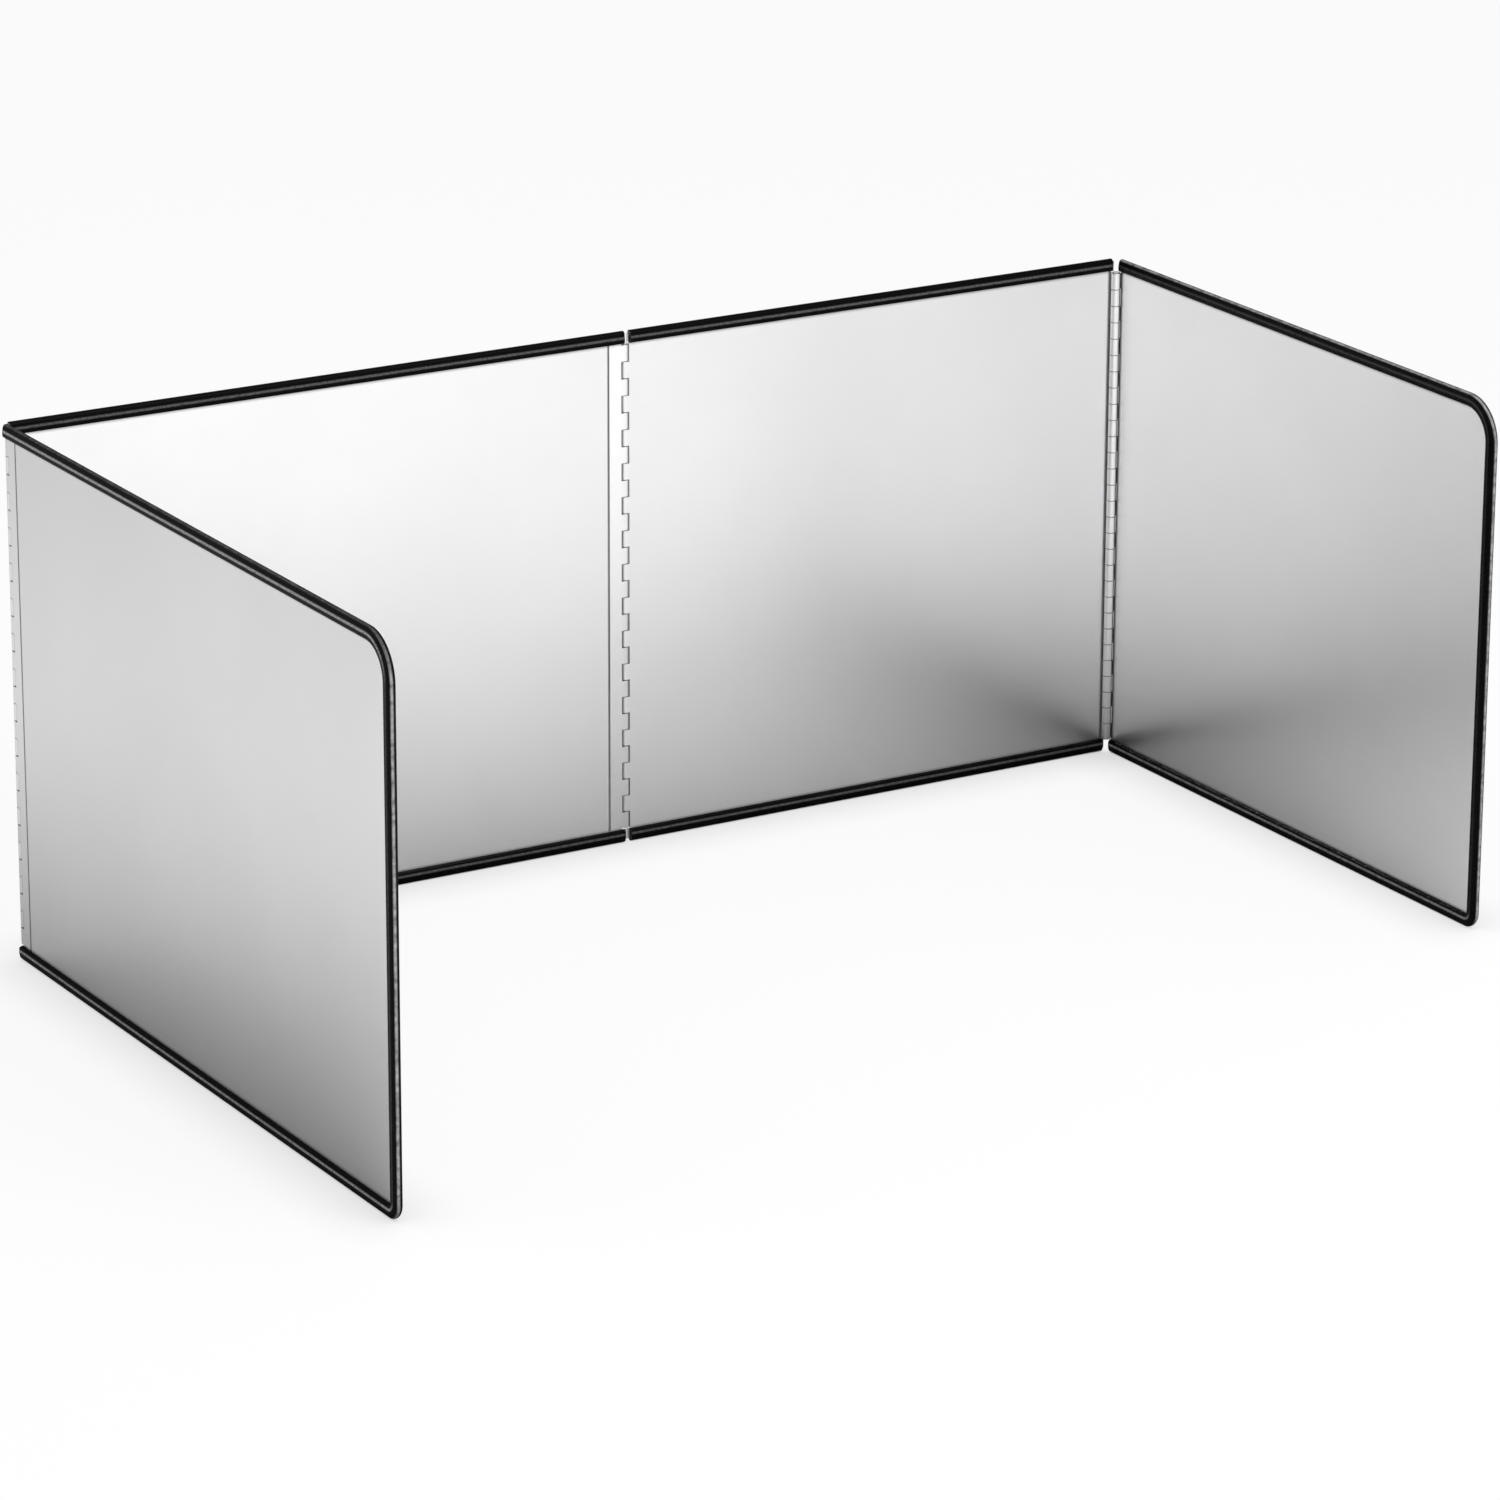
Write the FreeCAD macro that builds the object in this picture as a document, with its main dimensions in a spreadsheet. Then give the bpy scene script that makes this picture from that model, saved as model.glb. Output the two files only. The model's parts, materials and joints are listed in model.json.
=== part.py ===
import FreeCAD, Part
import math
import os
import Sketcher

# Folding splash guard: four sheet-steel panels standing on edge, joined by three
# knuckled hinges and edged with a rubber channel on a steel core. Millimetres, +Z up,
# origin on the floor at the middle of the footprint. The back runs along X and the end
# panels stand square to it, towards -Y.

# Every size that can be set by itself.
DRIVING = {
    "guard_height": "305",          # over the trims, floor to top
    "left_end_width": "442",        # hinge axis to the outside of the free edge's trim
    "left_back_width": "382",       # hinge axis to hinge axis
    "right_back_width": "331",
    "right_end_width": "368",
    "sheet_gauge": "0.6",           # panels and hinge strips
    "top_corner_radius": "17",      # bare steel inside the trim, free upper corners
    "bottom_corner_radius": "2",    # the same, free lower corners
    "trim_width": "4.8",            # across the channel at its crown
    "trim_cover": "6",              # how far the channel's legs reach over the sheet
    "trim_wall": "1.6",             # rubber outside the sheet's edge
    "trim_crown": "0.4",            # bulge of each leg's outer face
    "trim_rounding": "1.9",         # the channel's back, nearly a half round
    "channel_width": "2",           # hollow inside the channel
    "lip_height": "1.6",            # gripping lip at each leg's mouth
    "lip_land": "0.7",              # the lip's flat that lies on the sheet
    "core_gauge": "0.3",            # steel strip inside the rubber
    "core_cover": "0.2",            # rubber between the channel's hollow and the core
    "core_toe": "0.8",              # rubber beyond the core at each leg's mouth
    "core_clearance": "0.03",       # round the core in its cavity
    "left_trim_gap": "1",           # between the trims that meet at each hinge
    "middle_trim_gap": "4",
    "right_trim_gap": "4",
    "fold_clearance": "0.3",        # between the trims of two panels folded shut
    "pin_clearance": "0.05",        # running fit, on the radius
    "pin_stand_out": "0.3",         # pin beyond the last knuckle
    "knuckle_pairs": "14",          # knuckles on the leaf with fewer of them
    "knuckle_gap": "0.3",           # end play between knuckles
    "hinge_end_gap": "0.6",         # trim mouth to the first knuckle
    "notch_clearance": "0.3",       # leaf edge to the other leaf's knuckles
    "leaf_gap": "0.5",              # between the leaves above and below the knuckles
    "roll_sides": "10",             # flats in a full turn of a knuckle, an even number
    "roll_bends": "8",              # bends that a leaf makes round its pin
    "strip_width": "11",            # hinge axis to the edge of a hinge strip
    "joggle_run": "1",              # length of the step that takes a sheet behind a strip
    "flange_clearance": "0.3",      # trim mouth to the lapped flange
}

# What follows from them.
DERIVED = {
    "axis_offset": "(Sizes.trim_width + Sizes.fold_clearance) / 2",
    "roll_outer": "axis_offset + Sizes.sheet_gauge / 2",
    "roll_inner": "axis_offset - Sizes.sheet_gauge / 2",
    "pin_radius": "roll_inner - Sizes.pin_clearance",
    "roll_turn": "360 / Sizes.roll_sides",
    "corner_outer": "roll_outer / cos(roll_turn / 2)",
    "corner_inner": "roll_inner / cos(roll_turn / 2)",
    "notch_reach": "corner_outer + Sizes.notch_clearance",
    "tab_reach": "Sizes.leaf_gap / 2",
    "joggle_edge": "Sizes.strip_width + Sizes.joggle_run",
    "flange_inner": "roll_inner - Sizes.sheet_gauge",
    "sheet_low": "Sizes.trim_wall",
    "sheet_high": "Sizes.guard_height - Sizes.trim_wall",
    "mouth_low": "Sizes.trim_wall + Sizes.trim_cover",
    "mouth_high": "Sizes.guard_height - mouth_low",
    "flange_low": "mouth_low + Sizes.flange_clearance",
    "flange_height": "Sizes.guard_height - 2 * flange_low",
    "hinge_low": "mouth_low + Sizes.hinge_end_gap",
    "hinge_pitch": "(Sizes.guard_height - 2 * hinge_low) / (2 * Sizes.knuckle_pairs + 1)",
    "knuckle_length": "hinge_pitch - Sizes.knuckle_gap",
    "outer_set_low": "hinge_low + Sizes.knuckle_gap / 2",
    "outer_set_count": "Sizes.knuckle_pairs + 1",
    "outer_set_span": "2 * hinge_pitch * Sizes.knuckle_pairs",
    "inner_set_low": "outer_set_low + hinge_pitch",
    "inner_set_count": "Sizes.knuckle_pairs",
    "inner_set_span": "2 * hinge_pitch * (Sizes.knuckle_pairs - 1)",
    "pin_low": "hinge_low - Sizes.pin_stand_out",
    "pin_length": "Sizes.guard_height - 2 * pin_low",
    "left_back_edge": "Sizes.left_back_width - joggle_edge",
    "hinge_stagger": "2 * axis_offset",
    "right_back_tab": "Sizes.right_back_width - tab_reach",
    "right_back_notch": "Sizes.right_back_width - notch_reach",
    "left_sheet_end": "Sizes.left_end_width - Sizes.trim_wall",
    "right_sheet_end": "Sizes.right_end_width - Sizes.trim_wall",
    "top_radius": "Sizes.top_corner_radius + Sizes.trim_cover",
    "bottom_radius": "Sizes.bottom_corner_radius + Sizes.trim_cover",
    "left_top_bend": "left_sheet_end - top_radius",
    "left_bottom_bend": "left_sheet_end - bottom_radius",
    "right_top_bend": "right_sheet_end - top_radius",
    "right_bottom_bend": "right_sheet_end - bottom_radius",
    "top_bend": "sheet_high - top_radius",
    "bottom_bend": "sheet_low + bottom_radius",
    "left_trim_start": "Sizes.left_trim_gap / 2",
    "middle_trim_start": "Sizes.middle_trim_gap / 2",
    "right_trim_start": "Sizes.right_trim_gap / 2",
    "left_back_trim_length": "Sizes.left_back_width - left_trim_start - middle_trim_start",
    "right_back_trim_length": "Sizes.right_back_width - middle_trim_start - right_trim_start",
    "trim_shoulder": "Sizes.trim_width / 2 - Sizes.trim_crown",
    "trim_flat": "trim_shoulder - Sizes.trim_rounding",
    "trim_shoulder_depth": "Sizes.trim_wall - Sizes.trim_rounding",
    "leg_half_chord": "(trim_shoulder_depth + Sizes.trim_cover) / 2",
    "leg_radius": "leg_half_chord ^ 2 / (2 * Sizes.trim_crown) + Sizes.trim_crown / 2",
    "half_gauge": "Sizes.sheet_gauge / 2",
    "half_channel": "Sizes.channel_width / 2",
    "lip_top": "Sizes.trim_cover - Sizes.lip_height",
    "land_top": "Sizes.trim_cover - Sizes.lip_land",
    "core_inner": "half_channel + Sizes.core_cover",
    "core_outer": "core_inner + Sizes.core_gauge",
    "core_under": "Sizes.core_cover",
    "core_top": "core_under + Sizes.core_gauge",
    "core_foot": "Sizes.trim_cover - Sizes.core_toe",
    "half_back": "(Sizes.left_back_width + Sizes.right_back_width) / 2",
    "middle_x": "Sizes.left_back_width - half_back",
    "end_reach": "max(Sizes.left_end_width; Sizes.right_end_width)",
    "end_axis_y": "(end_reach - hinge_stagger - roll_outer) / 2",
    "middle_axis_y": "end_axis_y + hinge_stagger",
}

# Where each hinge axis stands.
HINGES = {
    "left": ("-Layout.half_back", "Layout.end_axis_y"),
    "middle": ("Layout.middle_x", "Layout.middle_axis_y"),
    "right": ("Layout.half_back", "Layout.end_axis_y"),
}
END_TURN = -90      # degrees from the back to an end panel

doc = FreeCAD.newDocument("splash_guard")


def fill_sheet(name, cells):
    """A spreadsheet with one named cell in each row."""
    sheet = doc.addObject("Spreadsheet::Sheet", name)
    for row, (alias, content) in enumerate(cells.items(), start=1):
        sheet.set(f"A{row}", content)
        sheet.setAlias(f"A{row}", alias)
    doc.recompute()
    return sheet


fill_sheet("Sizes", DRIVING)
layout = fill_sheet("Layout", {alias: "=" + formula for alias, formula in DERIVED.items()})


def number(term):
    """The present value of an expression such as "-Sizes.trim_wall" or "0"."""
    return float(layout.evalExpression(term))


def signed(sign, term):
    """The term, or its opposite where sign is negative."""
    return term if sign > 0 or term == "0" else f"-({term})"


def new_body(name):
    """A body whose label is the name of its piece."""
    body = doc.addObject("PartDesign::Body", name)
    body.Label = name
    return body


def origin_feature(body, role):
    """One of the body's own origin planes or axes."""
    return next(item for item in body.Origin.OriginFeatures if item.Role == role)


def new_sketch(body, plane, name, offset=("0", "0", "0")):
    """A sketch on one of the body's origin planes, moved in that plane's own axes."""
    sketch = body.newObject("Sketcher::SketchObject", name)
    sketch.AttachmentSupport = [(origin_feature(body, plane), "")]
    sketch.MapMode = "FlatFace"
    for axis, term in zip("xyz", offset):
        if term != "0":
            sketch.setExpression(f"AttachmentOffset.Base.{axis}", term)
    doc.recompute()
    return sketch


def pin_point(sketch, geometry, end, x_term, y_term):
    """Hold one end of a piece of geometry at a named place."""
    for kind, term, line in (("DistanceX", x_term, -2), ("DistanceY", y_term, -1)):
        if term == "0":
            sketch.addConstraint(Sketcher.Constraint("PointOnObject", geometry, end, line))
            continue
        held = Sketcher.Constraint(kind, -1, 1, geometry, end, number(term))
        index = sketch.addConstraint(held)
        sketch.setExpression(f"Constraints[{index}]", term)


def arc_between(start, end, radius):
    """The short arc from start to end that turns anticlockwise, and its centre."""
    chord = end - start
    rise = math.sqrt(radius ** 2 - (chord.Length / 2) ** 2)
    left = FreeCAD.Vector(-chord.y, chord.x, 0).normalize()
    centre = start + chord / 2 + left * rise
    angles = [math.atan2(p.y - centre.y, p.x - centre.x) for p in (start, end)]
    circle = Part.Circle(centre, FreeCAD.Vector(0, 0, 1), radius)
    return Part.ArcOfCircle(circle, angles[0], angles[1])


def draw(sketch, corners, closed=True):
    """Join the corners in turn. A corner is (x, y) or (x, y, radius of the arc that leaves it).

    Every arc turns anticlockwise, and an outline with arcs runs anticlockwise too.
    """
    places = [FreeCAD.Vector(number(c[0]), number(c[1]), 0) for c in corners]
    first = sketch.GeometryCount
    count = len(corners) if closed else len(corners) - 1
    for index in range(count):
        start = places[index]
        end = places[(index + 1) % len(corners)]
        if len(corners[index]) == 3:
            radius_term = corners[index][2]
            geometry = sketch.addGeometry(arc_between(start, end, number(radius_term)))
            held = Sketcher.Constraint("Radius", geometry, number(radius_term))
            sketch.setExpression(f"Constraints[{sketch.addConstraint(held)}]", radius_term)
        else:
            geometry = sketch.addGeometry(Part.LineSegment(start, end))
        pin_point(sketch, geometry, 1, *corners[index][:2])
        if index:
            sketch.addConstraint(Sketcher.Constraint("Coincident", geometry - 1, 2, geometry, 1))
    if closed:
        sketch.addConstraint(Sketcher.Constraint("Coincident", geometry, 2, first, 1))
    else:
        pin_point(sketch, geometry, 2, *corners[-1][:2])
    doc.recompute()


def pad(body, sketch, name, length):
    """Extrude a sketch along its plane's normal."""
    feature = body.newObject("PartDesign::Pad", name)
    feature.Profile = sketch
    feature.setExpression("Length", length)
    doc.recompute()
    return feature


def sheet_pad(body, side, corners):
    """A flat sheet standing on edge, offset from its hinge axis to the given side."""
    back_face = "-Layout.roll_outer" if side > 0 else "Layout.roll_inner"
    sketch = new_sketch(body, "XZ_Plane", f"{body.Label}_outline", ("0", "0", back_face))
    draw(sketch, corners)
    pad(body, sketch, f"{body.Label}_sheet", "Sizes.sheet_gauge")


def roll_knuckles(body, name, run, side, which, axis=("0", "0")):
    """The outer or inner set of knuckles, rolled in flats from a leaf of constant gauge.

    The leaf leaves its hinge axis towards run, on the given side of the axis.
    """
    sketch = new_sketch(body, "XY_Plane", f"{name}_roll", (*axis, f"Layout.{which}_set_low"))
    faces = {}
    for face in ("outer", "inner"):
        corners = [(signed(run, "Layout.notch_reach"), signed(side, f"Layout.roll_{face}"))]
        for bend in range(int(number("Sizes.roll_bends")) + 1):
            angle = f"Layout.roll_turn * {bend + 0.5}"
            corners.append((
                signed(-run, f"Layout.corner_{face} * sin({angle})"),
                signed(side, f"Layout.corner_{face} * cos({angle})"),
            ))
        faces[face] = corners
    draw(sketch, faces["outer"] + faces["inner"][::-1])
    knuckle = pad(body, sketch, f"{name}_knuckle", "Layout.knuckle_length")
    row = body.newObject("PartDesign::LinearPattern", f"{name}_knuckles")
    row.Originals = [knuckle]
    row.Direction = (origin_feature(body, "Z_Axis"), [""])
    row.setExpression("Length", f"Layout.{which}_set_span")
    row.setExpression("Occurrences", f"Layout.{which}_set_count")
    body.Tip = row
    doc.recompute()


def lap_flange(body, run, axis=("0", "0")):
    """The stepped edge of a sheet that passes behind a hinge strip, on the knuckles' side."""
    sketch = new_sketch(body, "XY_Plane", f"{body.Label}_step", (*axis, "Layout.flange_low"))
    corners = [
        ("Layout.notch_reach", "Layout.flange_inner"),
        ("Sizes.strip_width", "Layout.flange_inner"),
        ("Layout.joggle_edge", "Layout.roll_inner"),
        ("Layout.joggle_edge", "Layout.roll_outer"),
        ("Sizes.strip_width", "Layout.roll_inner"),
        ("Layout.notch_reach", "Layout.roll_inner"),
    ]
    draw(sketch, [(signed(run, x), signed(-1, y)) for x, y in corners])
    pad(body, sketch, f"{body.Label}_flange", "Layout.flange_height")


def leaf_edge(tab, notch):
    """The corners of a leaf's hinge edge, from its top to its foot."""
    return [
        (tab, "Layout.sheet_high"),
        (tab, "Layout.mouth_high"),
        (notch, "Layout.mouth_high"),
        (notch, "Layout.mouth_low"),
        (tab, "Layout.mouth_low"),
        (tab, "Layout.sheet_low"),
    ]


def free_edge(hand):
    """The corners of an end panel's free edge, from its foot to its top."""
    return [
        (f"Layout.{hand}_bottom_bend", "Layout.sheet_low", "Layout.bottom_radius"),
        (f"Layout.{hand}_sheet_end", "Layout.bottom_bend"),
        (f"Layout.{hand}_sheet_end", "Layout.top_bend", "Layout.top_radius"),
        (f"Layout.{hand}_top_bend", "Layout.sheet_high"),
    ]


def place(body, hinge, turn=0):
    """Stand a body on one of the hinge axes, turned about it by some degrees."""
    body.Placement = FreeCAD.Placement(FreeCAD.Vector(), FreeCAD.Rotation(FreeCAD.Vector(0, 0, 1), turn))
    for axis, term in zip("xy", HINGES[hinge]):
        body.setExpression(f"Placement.Base.{axis}", term)
    return body


def left_end_panel():
    """A plain sheet whose hinge edge steps behind the left hinge strip."""
    body = new_body("left_end_panel")
    edge = [("Layout.joggle_edge", "Layout.sheet_high"), ("Layout.joggle_edge", "Layout.sheet_low")]
    sheet_pad(body, -1, edge + free_edge("left"))
    lap_flange(body, 1)
    return place(body, "left", END_TURN)


def right_end_panel():
    """A sheet with its own rolled knuckles."""
    body = new_body("right_end_panel")
    edge = leaf_edge("Layout.tab_reach", "Layout.notch_reach")
    sheet_pad(body, 1, edge + free_edge("right"))
    roll_knuckles(body, "right", 1, 1, "outer")
    return place(body, "right", END_TURN)


def left_back_panel():
    """Rolled knuckles at the left hinge, a step behind the strip at the middle hinge."""
    body = new_body("left_back_panel")
    near_edge = leaf_edge("Layout.tab_reach", "Layout.notch_reach")
    far_edge = [("Layout.left_back_edge", "Layout.sheet_low"), ("Layout.left_back_edge", "Layout.sheet_high")]
    sheet_pad(body, 1, near_edge + far_edge)
    lap_flange(body, -1, ("Sizes.left_back_width", "Layout.hinge_stagger"))
    roll_knuckles(body, "left", 1, 1, "inner")
    return place(body, "left")


def right_back_panel():
    """Rolled knuckles at both edges, backwards at the middle hinge and inwards at the right one."""
    body = new_body("right_back_panel")
    near_edge = leaf_edge("Layout.tab_reach", "Layout.notch_reach")
    far_edge = leaf_edge("Layout.right_back_tab", "Layout.right_back_notch")
    sheet_pad(body, -1, near_edge + far_edge[::-1])
    roll_knuckles(body, "middle", 1, -1, "inner")
    roll_knuckles(body, "right", -1, 1, "inner", ("Sizes.right_back_width", "-Layout.hinge_stagger"))
    return place(body, "middle")


def hinge_strip(name, run):
    """A narrow leaf with the outer set of knuckles, flush with the sheet that steps behind it."""
    body = new_body(name)
    edge = leaf_edge(signed(run, "Layout.tab_reach"), signed(run, "Layout.notch_reach"))
    far_side = signed(run, "Sizes.strip_width")
    sheet_pad(body, -1, edge + [(far_side, "Layout.sheet_low"), (far_side, "Layout.sheet_high")])
    roll_knuckles(body, name, run, -1, "outer")
    return body


def hinge_pin(hinge):
    """A plain cut rod through the knuckles."""
    body = new_body(f"{hinge}_hinge_pin")
    sketch = new_sketch(body, "XY_Plane", f"{body.Label}_section", ("0", "0", "Layout.pin_low"))
    radius = number("Layout.pin_radius")
    circle = sketch.addGeometry(Part.Circle(FreeCAD.Vector(), FreeCAD.Vector(0, 0, 1), radius))
    sketch.addConstraint(Sketcher.Constraint("Coincident", circle, 3, -1, 1))
    held = Sketcher.Constraint("Radius", circle, radius)
    sketch.setExpression(f"Constraints[{sketch.addConstraint(held)}]", "Layout.pin_radius")
    pad(body, sketch, f"{body.Label}_rod", "Layout.pin_length")
    return place(body, hinge)


def core_outline(slack):
    """The steel core's section, grown all round by slack where it is the core's cavity."""
    outer = f"Layout.core_outer + {slack}"
    inner = f"Layout.core_inner - {slack}"
    top = f"Layout.core_top + {slack}"
    under = f"Layout.core_under - {slack}"
    foot = f"-(Layout.core_foot + {slack})"
    return [
        (inner, foot),
        (outer, foot),
        (outer, top),
        (signed(-1, outer), top),
        (signed(-1, outer), foot),
        (signed(-1, inner), foot),
        (signed(-1, inner), under),
        (inner, under),
    ]


# The rubber channel's section, about the middle of the sheet's edge: two crowned legs
# over the sheet, a rounded back, and a hollow that narrows to a gripping lip.
TRIM_OUTLINE = [
    ("Layout.half_gauge", "-Sizes.trim_cover"),
    ("Layout.trim_shoulder", "-Sizes.trim_cover", "Layout.leg_radius"),
    ("Layout.trim_shoulder", "Layout.trim_shoulder_depth", "Sizes.trim_rounding"),
    ("Layout.trim_flat", "Sizes.trim_wall"),
    ("-Layout.trim_flat", "Sizes.trim_wall", "Sizes.trim_rounding"),
    ("-Layout.trim_shoulder", "Layout.trim_shoulder_depth", "Layout.leg_radius"),
    ("-Layout.trim_shoulder", "-Sizes.trim_cover"),
    ("-Layout.half_gauge", "-Sizes.trim_cover"),
    ("-Layout.half_gauge", "-Layout.land_top"),
    ("-Layout.half_channel", "-Layout.lip_top"),
    ("-Layout.half_channel", "0"),
    ("Layout.half_channel", "0"),
    ("Layout.half_channel", "-Layout.lip_top"),
    ("Layout.half_gauge", "-Layout.land_top"),
]
SECTIONS = {
    "trim": [TRIM_OUTLINE, core_outline("Sizes.core_clearance")],
    "trim_core": [core_outline("0")],
}


def edge_section(body, kind, side, edge, start):
    """The section of a trim or its core, across the top or bottom edge of a sheet."""
    lateral = signed(side, "Layout.axis_offset")
    height = "Layout.sheet_high" if edge == "top" else "Layout.sheet_low"
    sketch = new_sketch(body, "YZ_Plane", f"{body.Label}_section", (lateral, height, start))
    turn = 1 if edge == "top" else -1
    for outline in SECTIONS[kind]:
        draw(sketch, [(signed(turn, c[0]), signed(turn, c[1]), *c[2:]) for c in outline])
    return sketch


def back_edging(kind, panel, edge, hinge, side, start):
    """A straight trim or its core, on the top or bottom edge of a back panel."""
    body = new_body(f"{panel}_{edge}_{kind}")
    section = edge_section(body, kind, side, edge, start)
    pad(body, section, f"{body.Label}_length", f"Layout.{panel}_trim_length")
    return place(body, hinge)


def end_edging(kind, hand, side):
    """A trim or its core, round an end panel's bottom, free edge and top."""
    body = new_body(f"{hand}_end_{kind}")
    start = f"Layout.{hand}_trim_start"
    path = new_sketch(body, "XZ_Plane", f"{body.Label}_path", ("0", "0", signed(-side, "Layout.axis_offset")))
    draw(path, [(start, "Layout.sheet_low"), *free_edge(hand), (start, "Layout.sheet_high")], closed=False)
    section = edge_section(body, kind, side, "bottom", start)
    pipe = body.newObject("PartDesign::AdditivePipe", f"{body.Label}_sweep")
    pipe.Profile = section
    pipe.Spine = (path, [f"Edge{i}" for i in range(1, path.GeometryCount + 1)])
    pipe.Mode = "Standard"
    doc.recompute()
    return place(body, hand, END_TURN)


pieces = [
    left_end_panel(),
    left_back_panel(),
    right_back_panel(),
    right_end_panel(),
    place(hinge_strip("left_hinge_strip", 1), "left", END_TURN),
    place(hinge_strip("middle_hinge_strip", -1), "middle"),
    hinge_pin("left"),
    hinge_pin("middle"),
    hinge_pin("right"),
]
for kind in SECTIONS:
    pieces.append(end_edging(kind, "left", -1))
    pieces.append(end_edging(kind, "right", 1))
    for edge in ("top", "bottom"):
        pieces.append(back_edging(kind, "left_back", edge, "left", 1, "Layout.left_trim_start"))
        pieces.append(back_edging(kind, "right_back", edge, "middle", -1, "Layout.middle_trim_start"))

doc.recompute()
for item in doc.Objects:
    if "Invalid" in item.State or "Error" in item.State:
        raise RuntimeError(f"{item.Label} failed: {item.State}")
for piece in pieces:
    if piece.Shape.isNull() or not piece.Shape.isValid() or not piece.Shape.Solids:
        raise RuntimeError(f"{piece.Label} has no valid solid")

os.makedirs("parts", exist_ok=True)
for piece in pieces:
    piece.Shape.exportStep(os.path.join("parts", piece.Label + ".step"))
    box = piece.Shape.optimalBoundingBox(True, False)
    spans = f"x {box.XMin:.2f} {box.XMax:.2f} y {box.YMin:.2f} {box.YMax:.2f} z {box.ZMin:.2f} {box.ZMax:.2f}"
    print(f"{piece.Label}: {len(piece.Shape.Solids)} solid, {piece.Shape.Volume:.1f} mm3, {spans}")
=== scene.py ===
import json
import math

import bmesh
import bpy
from mathutils import Matrix, Vector
from mathutils.geometry import tessellate_polygon


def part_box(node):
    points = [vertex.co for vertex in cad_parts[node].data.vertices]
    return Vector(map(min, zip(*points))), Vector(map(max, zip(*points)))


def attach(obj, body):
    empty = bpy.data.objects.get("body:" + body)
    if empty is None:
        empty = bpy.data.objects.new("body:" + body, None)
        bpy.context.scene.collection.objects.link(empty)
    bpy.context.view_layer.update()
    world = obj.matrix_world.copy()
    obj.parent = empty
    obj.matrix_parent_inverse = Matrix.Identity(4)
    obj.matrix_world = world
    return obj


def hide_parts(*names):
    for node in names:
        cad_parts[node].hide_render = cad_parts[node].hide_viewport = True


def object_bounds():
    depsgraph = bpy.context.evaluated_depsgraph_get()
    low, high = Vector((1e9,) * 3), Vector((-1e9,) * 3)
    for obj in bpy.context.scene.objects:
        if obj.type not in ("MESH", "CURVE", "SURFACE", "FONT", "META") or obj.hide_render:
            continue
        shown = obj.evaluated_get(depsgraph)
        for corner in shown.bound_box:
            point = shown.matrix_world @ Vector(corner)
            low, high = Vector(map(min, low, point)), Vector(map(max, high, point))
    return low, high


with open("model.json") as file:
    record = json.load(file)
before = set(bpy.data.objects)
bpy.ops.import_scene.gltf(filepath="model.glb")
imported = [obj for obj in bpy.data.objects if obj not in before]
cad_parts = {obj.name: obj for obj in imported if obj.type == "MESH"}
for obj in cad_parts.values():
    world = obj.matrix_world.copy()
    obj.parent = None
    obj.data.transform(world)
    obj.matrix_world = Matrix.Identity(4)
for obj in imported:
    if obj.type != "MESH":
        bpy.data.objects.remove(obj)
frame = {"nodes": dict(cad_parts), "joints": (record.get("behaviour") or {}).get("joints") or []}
cad_low, cad_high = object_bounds()

# ---------------------------------------------------------------------------
# Sizes that the frame's boxes don't give, in metres and radians
# ---------------------------------------------------------------------------
SHEET = 0.0006
TRIM_WALL = 0.0016          # rubber outside the sheet's edge
TRIM_CROWN = 0.0004         # bulge of each leg
TRIM_ROUNDING = 0.0019      # the channel's back, nearly a half round
CHANNEL_WIDTH = 0.002       # the hollow between the legs
LIP_HEIGHT = 0.0016         # from the channel's mouth to where the lip starts to narrow it
LIP_LAND = 0.0007           # the lip's flat that lies on the sheet
CORE_GAUGE = 0.0003
CORE_COVER = 0.0002         # rubber between the hollow and the core
CORE_TOE = 0.0008           # rubber between the mouth and the core's feet
CORE_CLEARANCE = 0.00003
TOP_CORNER = 0.017          # bare steel inside the trim
BOTTOM_CORNER = 0.002
KNUCKLE_PAIRS = 14
KNUCKLE_GAP = 0.0005
PIN_STAND_OUT = 0.0003      # how far each end of a pin reaches past the knuckles' row
BARREL_CLEARANCE = 0.0001   # from a panel's notch to the knuckle that turns in it
STRIP_CLEARANCE = 0.00045   # the same at a strip, level with the barrel's outline
LEAF_GAP = 0.0005           # between the two leaves' ends above and below the knuckles
STRIP_WIDTH = 0.011
JOGGLE_RUN = 0.0015         # length of the step that takes a panel behind its hinge strip
FLANGE_CLEARANCE = 0.0003   # from the channel's mouth to the stepped edge
ROLL_END = math.radians(306)
SHARP_ANGLE = math.radians(18)
ROLL_STEPS = 24
CORNER_STEPS = 16
ARC_STEPS = 8

# ---------------------------------------------------------------------------
# Places worked out from the frame
# ---------------------------------------------------------------------------
AXES = {joint["name"].split("_")[0]: Vector(joint["pos_m"][:2]) for joint in frame["joints"]}
HEIGHT = cad_high.z

trim_low, trim_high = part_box("left_back_top_trim")
TRIM_WIDTH = trim_high.y - trim_low.y
TRIM_COVER = trim_high.z - trim_low.z - TRIM_WALL
AXIS_OFFSET = (trim_low.y + trim_high.y) / 2 - AXES["left"].y
ROLL_OUTER = AXIS_OFFSET + SHEET / 2
ROLL_INNER = AXIS_OFFSET - SHEET / 2
PANEL_NOTCH = math.sqrt((ROLL_OUTER + BARREL_CLEARANCE) ** 2 - ROLL_INNER ** 2)
STRIP_NOTCH = ROLL_OUTER + STRIP_CLEARANCE
JOGGLE_EDGE = STRIP_WIDTH + JOGGLE_RUN

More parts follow.
